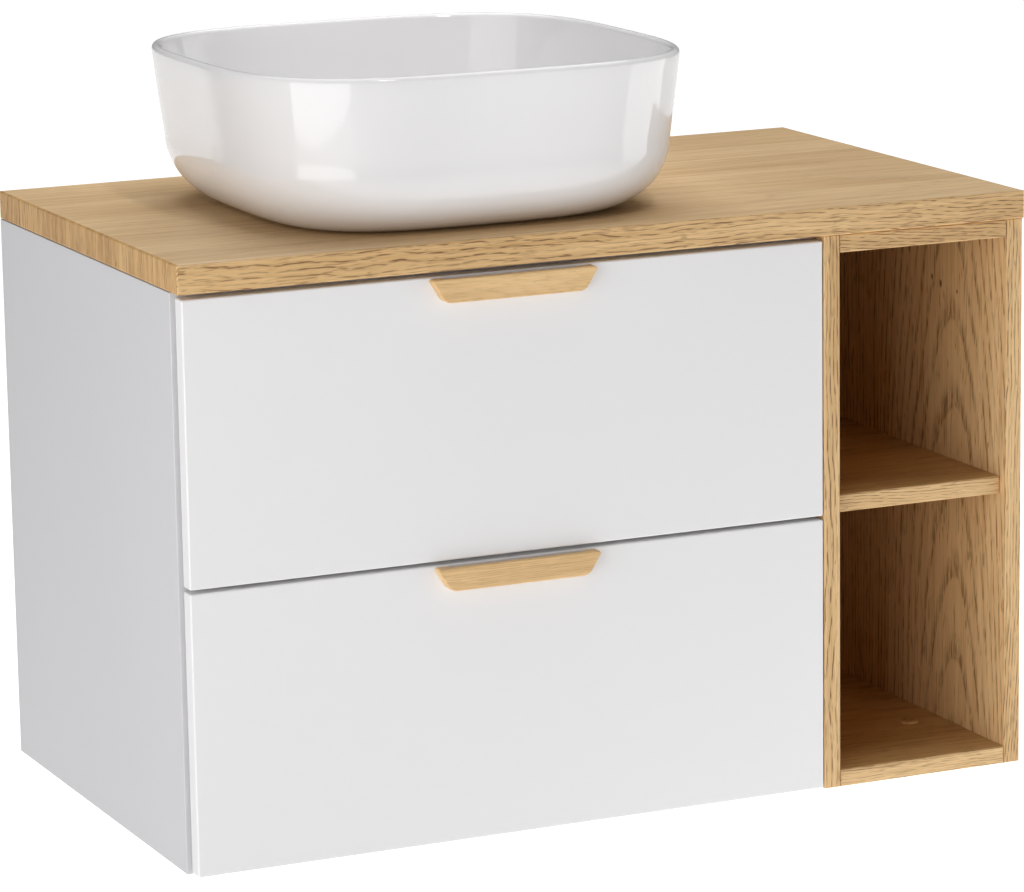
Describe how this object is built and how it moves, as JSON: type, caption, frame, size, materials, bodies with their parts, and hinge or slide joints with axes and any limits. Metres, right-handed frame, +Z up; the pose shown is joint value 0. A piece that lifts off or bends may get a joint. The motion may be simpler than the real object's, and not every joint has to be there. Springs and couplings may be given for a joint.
{
  "type": "vessel sink on vanity",
  "caption": "Wall-hung bathroom vanity: white drawer cabinet, open oak shelf unit and oak countertop carrying a rounded square ceramic vessel basin with click-clack drain and bottle trap.",
  "frame": {"origin": "back face of the steel wall rail, at the middle of the countertop's width and of the rail's height; the wall is the plane y = 0", "axes": "+X to the right seen from the front, -Y to the front, +Y into the wall, +Z up"},
  "size_m": [0.8, 0.4673, 0.6653],
  "materials": {
    "white_board": "satin white lacquer on furniture board",
    "oak_board": "oak-grain melamine, matt, vertical grain",
    "oak_countertop": "oak-grain board, matt, grain along X",
    "oak_handle": "oiled oak, matt",
    "ceramic": "high-gloss white glaze",
    "chrome": "polished",
    "zinc_steel": "zinc plated, satin",
    "drawer_steel": "light grey powder coat",
    "drawer_board": "light grey melamine",
    "trap_plastic": "white polypropylene, semi-gloss",
    "rubber": "black, matt"
  },
  "bodies": {
    "cabinet": {"countertop": "oak_countertop", "basin": "ceramic", "drain_body": "chrome", "drain_flange_gasket": "rubber", "drain_lower_gasket": "rubber", "drain_lock_nut": "zinc_steel", "trap_inlet_nut": "trap_plastic", "trap_inlet_tube": "trap_plastic", "trap_body": "trap_plastic", "trap_cup": "trap_plastic", "trap_outlet_nut": "trap_plastic", "trap_outlet_pipe": "trap_plastic", "cabinet_side_left": "white_board", "cabinet_side_right": "white_board", "cabinet_bottom": "white_board", "cabinet_front_rail": "white_board", "cabinet_rear_rail": "white_board", "cabinet_lower_rail": "white_board", "wall_rail": "zinc_steel", "hanger_left": "zinc_steel", "hanger_right": "zinc_steel", "hanger_hook_left": "zinc_steel", "hanger_hook_right": "zinc_steel", "shelf_unit_side_left": "oak_board", "shelf_unit_side_right": "oak_board", "shelf_unit_back": "oak_board", "shelf_unit_top": "oak_board", "shelf_unit_shelf": "oak_board", "shelf_unit_bottom": "oak_board", "cover_cap_front_left": "oak_board", "cover_cap_front_right": "oak_board", "cover_cap_rear_left": "oak_board", "cover_cap_rear_right": "oak_board", "upper_runner_left": "zinc_steel", "upper_runner_right": "zinc_steel", "lower_runner_left": "zinc_steel", "lower_runner_right": "zinc_steel"},
    "drain_cap": {"drain_cap": "chrome"},
    "upper_drawer": {"upper_drawer_front": "white_board", "upper_drawer_handle": "oak_handle", "upper_handle_screw_left": "zinc_steel", "upper_handle_screw_right": "zinc_steel", "upper_drawer_side_left": "drawer_steel", "upper_drawer_side_right": "drawer_steel", "upper_drawer_back_left": "drawer_board", "upper_drawer_back_right": "drawer_board", "upper_drawer_bottom": "drawer_board", "upper_drawer_trap_guard": "trap_plastic"},
    "upper_runner_middles": {"upper_runner_middle_left": "zinc_steel", "upper_runner_middle_right": "zinc_steel"},
    "lower_drawer": {"lower_drawer_front": "white_board", "lower_drawer_handle": "oak_handle", "lower_handle_screw_left": "zinc_steel", "lower_handle_screw_right": "zinc_steel", "lower_drawer_side_left": "drawer_steel", "lower_drawer_side_right": "drawer_steel", "lower_drawer_back": "drawer_board", "lower_drawer_bottom": "drawer_board"},
    "lower_runner_middles": {"lower_runner_middle_left": "zinc_steel", "lower_runner_middle_right": "zinc_steel"}
  },
  "joints": [
    {"name": "drain_cap_slide", "type": "slide", "parent": "cabinet", "child": "drain_cap", "axis": [0, 0, 1], "range_m": [0, 0.009]},
    {"name": "upper_drawer_slide", "type": "slide", "parent": "cabinet", "child": "upper_drawer", "axis": [0, -1, 0], "range_m": [0, 0.385]},
    {"name": "upper_runner_slide", "type": "slide", "parent": "cabinet", "child": "upper_runner_middles", "axis": [0, -1, 0], "range_m": [0, 0.1925]},
    {"name": "lower_drawer_slide", "type": "slide", "parent": "cabinet", "child": "lower_drawer", "axis": [0, -1, 0], "range_m": [0, 0.385]},
    {"name": "lower_runner_slide", "type": "slide", "parent": "cabinet", "child": "lower_runner_middles", "axis": [0, -1, 0], "range_m": [0, 0.1925]}
  ],
  "couplings": [
    {"joint": "upper_runner_slide", "follows": "upper_drawer_slide", "ratio": 0.5},
    {"joint": "lower_runner_slide", "follows": "lower_drawer_slide", "ratio": 0.5}
  ]
}
